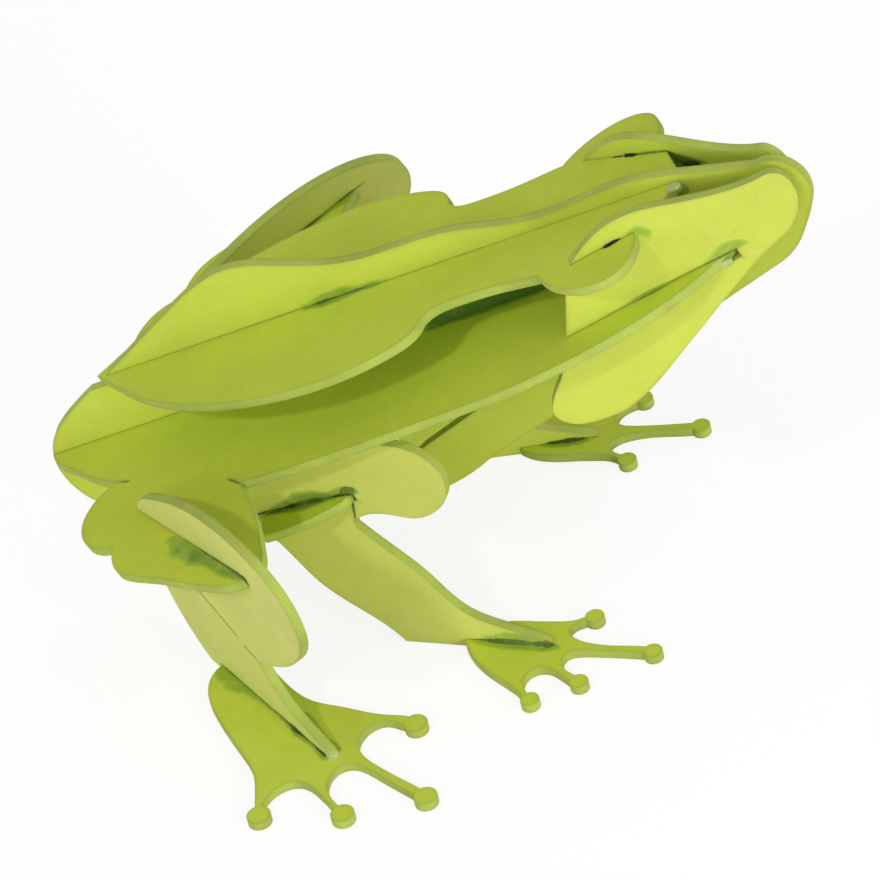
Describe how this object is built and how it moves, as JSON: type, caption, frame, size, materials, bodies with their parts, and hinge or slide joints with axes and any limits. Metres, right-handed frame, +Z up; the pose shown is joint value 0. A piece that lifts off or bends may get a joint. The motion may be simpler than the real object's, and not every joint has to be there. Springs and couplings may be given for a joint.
{
  "type": "paper frog model",
  "caption": "Crouching frog built from flat green card sheets that slot into one another: profile spine, tilted body decks, head sides, legs and flat webless feet with round toe tips.",
  "frame": {"origin": "centre of the footprint at the undersides of the feet", "axes": "+X towards the frog's nose, +Y towards its left side, +Z up"},
  "size_m": [0.1198, 0.116, 0.0729],
  "materials": {
    "card": "matte"
  },
  "bodies": {
    "root": {"spine": "card", "upper_deck": "card", "lower_deck": "card", "chest_plate": "card", "cheek_right": "card", "hind_leg_right": "card", "front_leg_right": "card", "hind_foot_right": "card", "front_foot_right": "card", "cheek_left": "card", "hind_leg_left": "card", "front_leg_left": "card", "hind_foot_left": "card", "front_foot_left": "card"}
  },
  "joints": []
}
